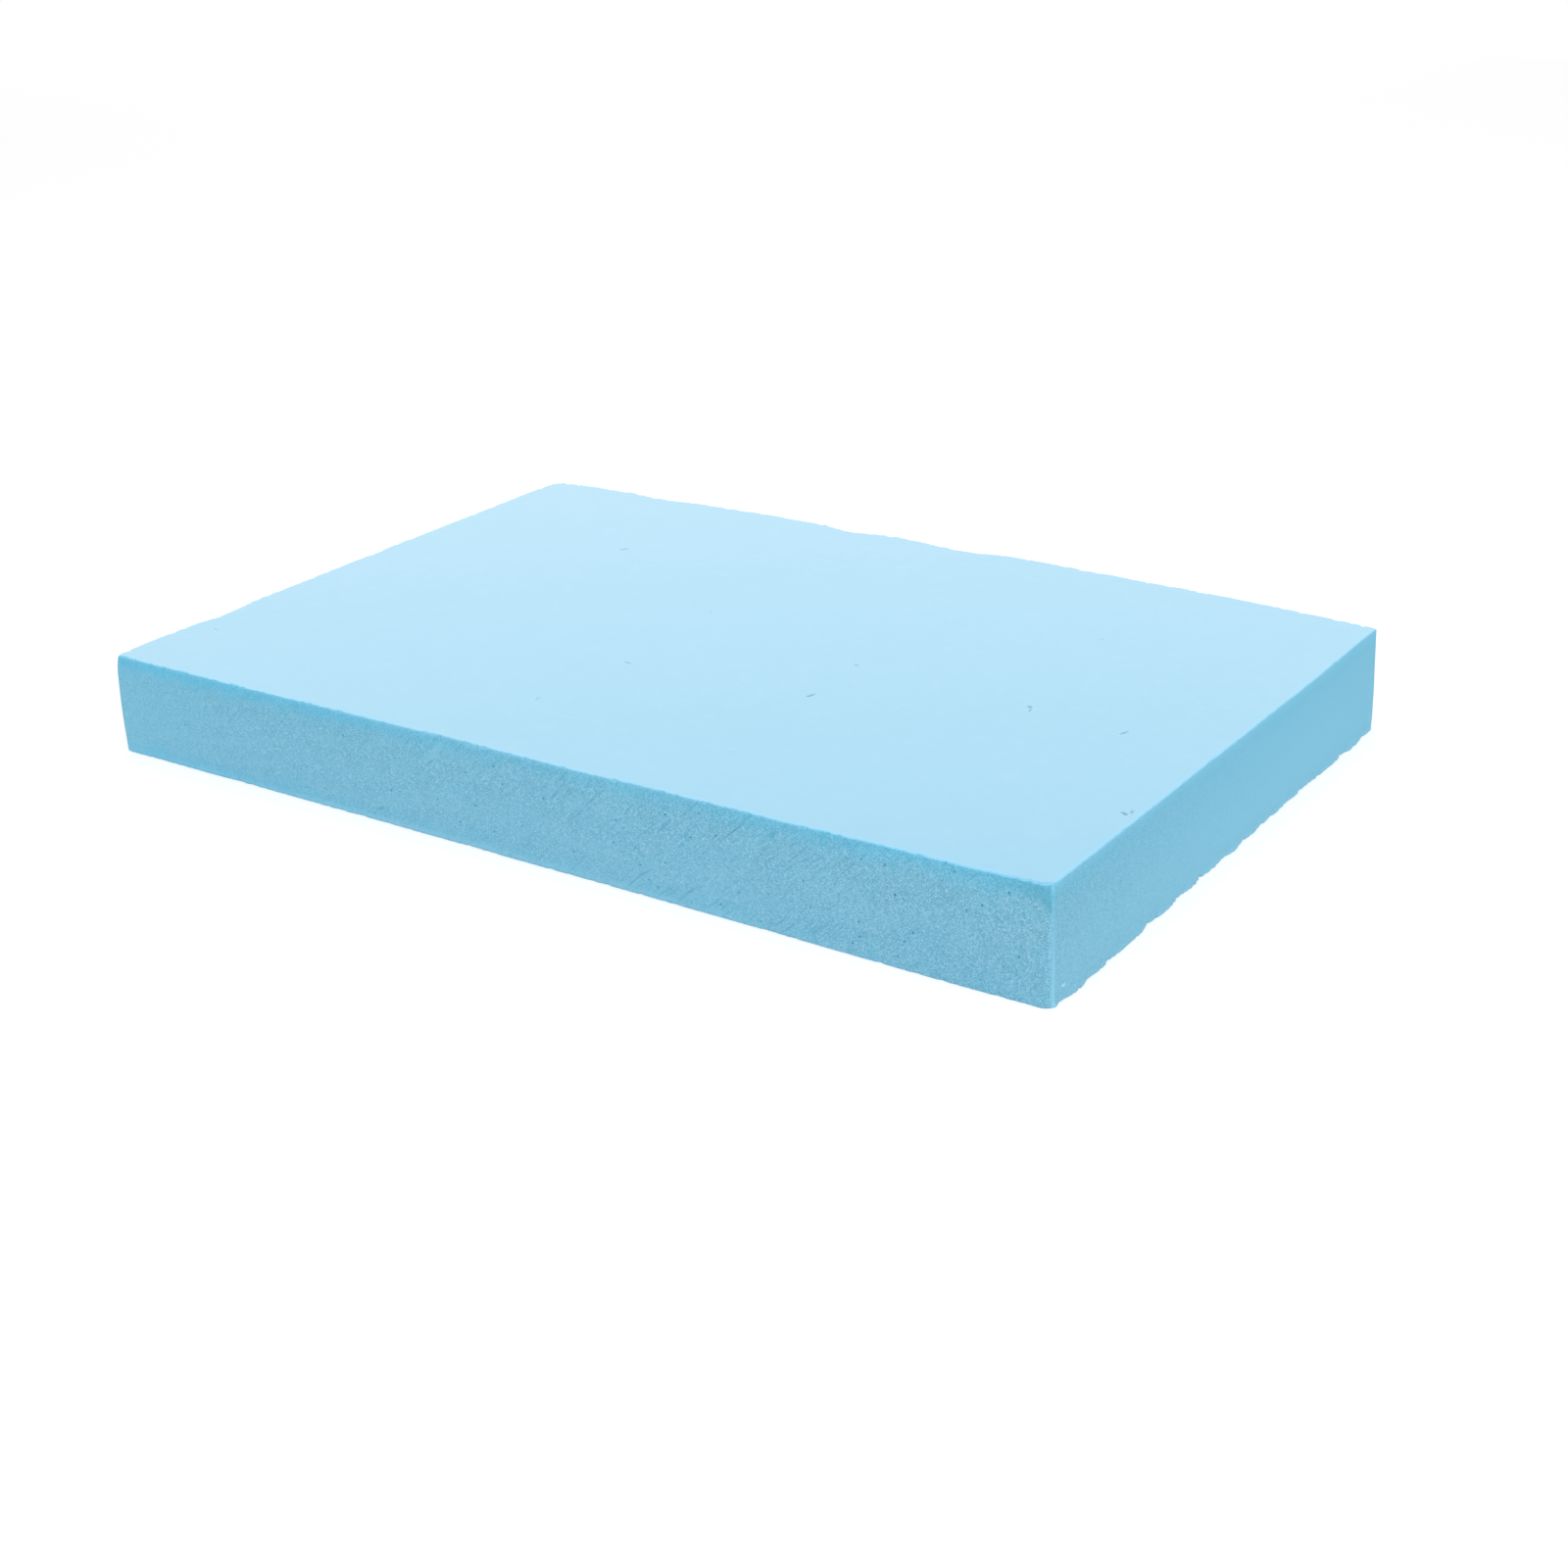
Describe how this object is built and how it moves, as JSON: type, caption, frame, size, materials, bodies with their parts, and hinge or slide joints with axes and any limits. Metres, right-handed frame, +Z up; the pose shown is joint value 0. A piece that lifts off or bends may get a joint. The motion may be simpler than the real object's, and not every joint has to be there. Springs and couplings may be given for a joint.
{
  "type": "foam block",
  "caption": "Rectangular slab of light blue rigid insulation foam with smooth skinned faces and hand-cut sides, for cutting, shaping and packing.",
  "frame": {"origin": "centre of the bottom face, on the surface that the block lies on", "axes": "+X along the long side, +Y across the width to the back long side, +Z up through the thickness"},
  "size_m": [0.2994, 0.2023, 0.03],
  "materials": {
    "blue_foam": "matt closed-cell foam, smooth skin on the faces and sawn cells on the sides"
  },
  "bodies": {
    "root": {"foam_block": "blue_foam"}
  },
  "joints": []
}
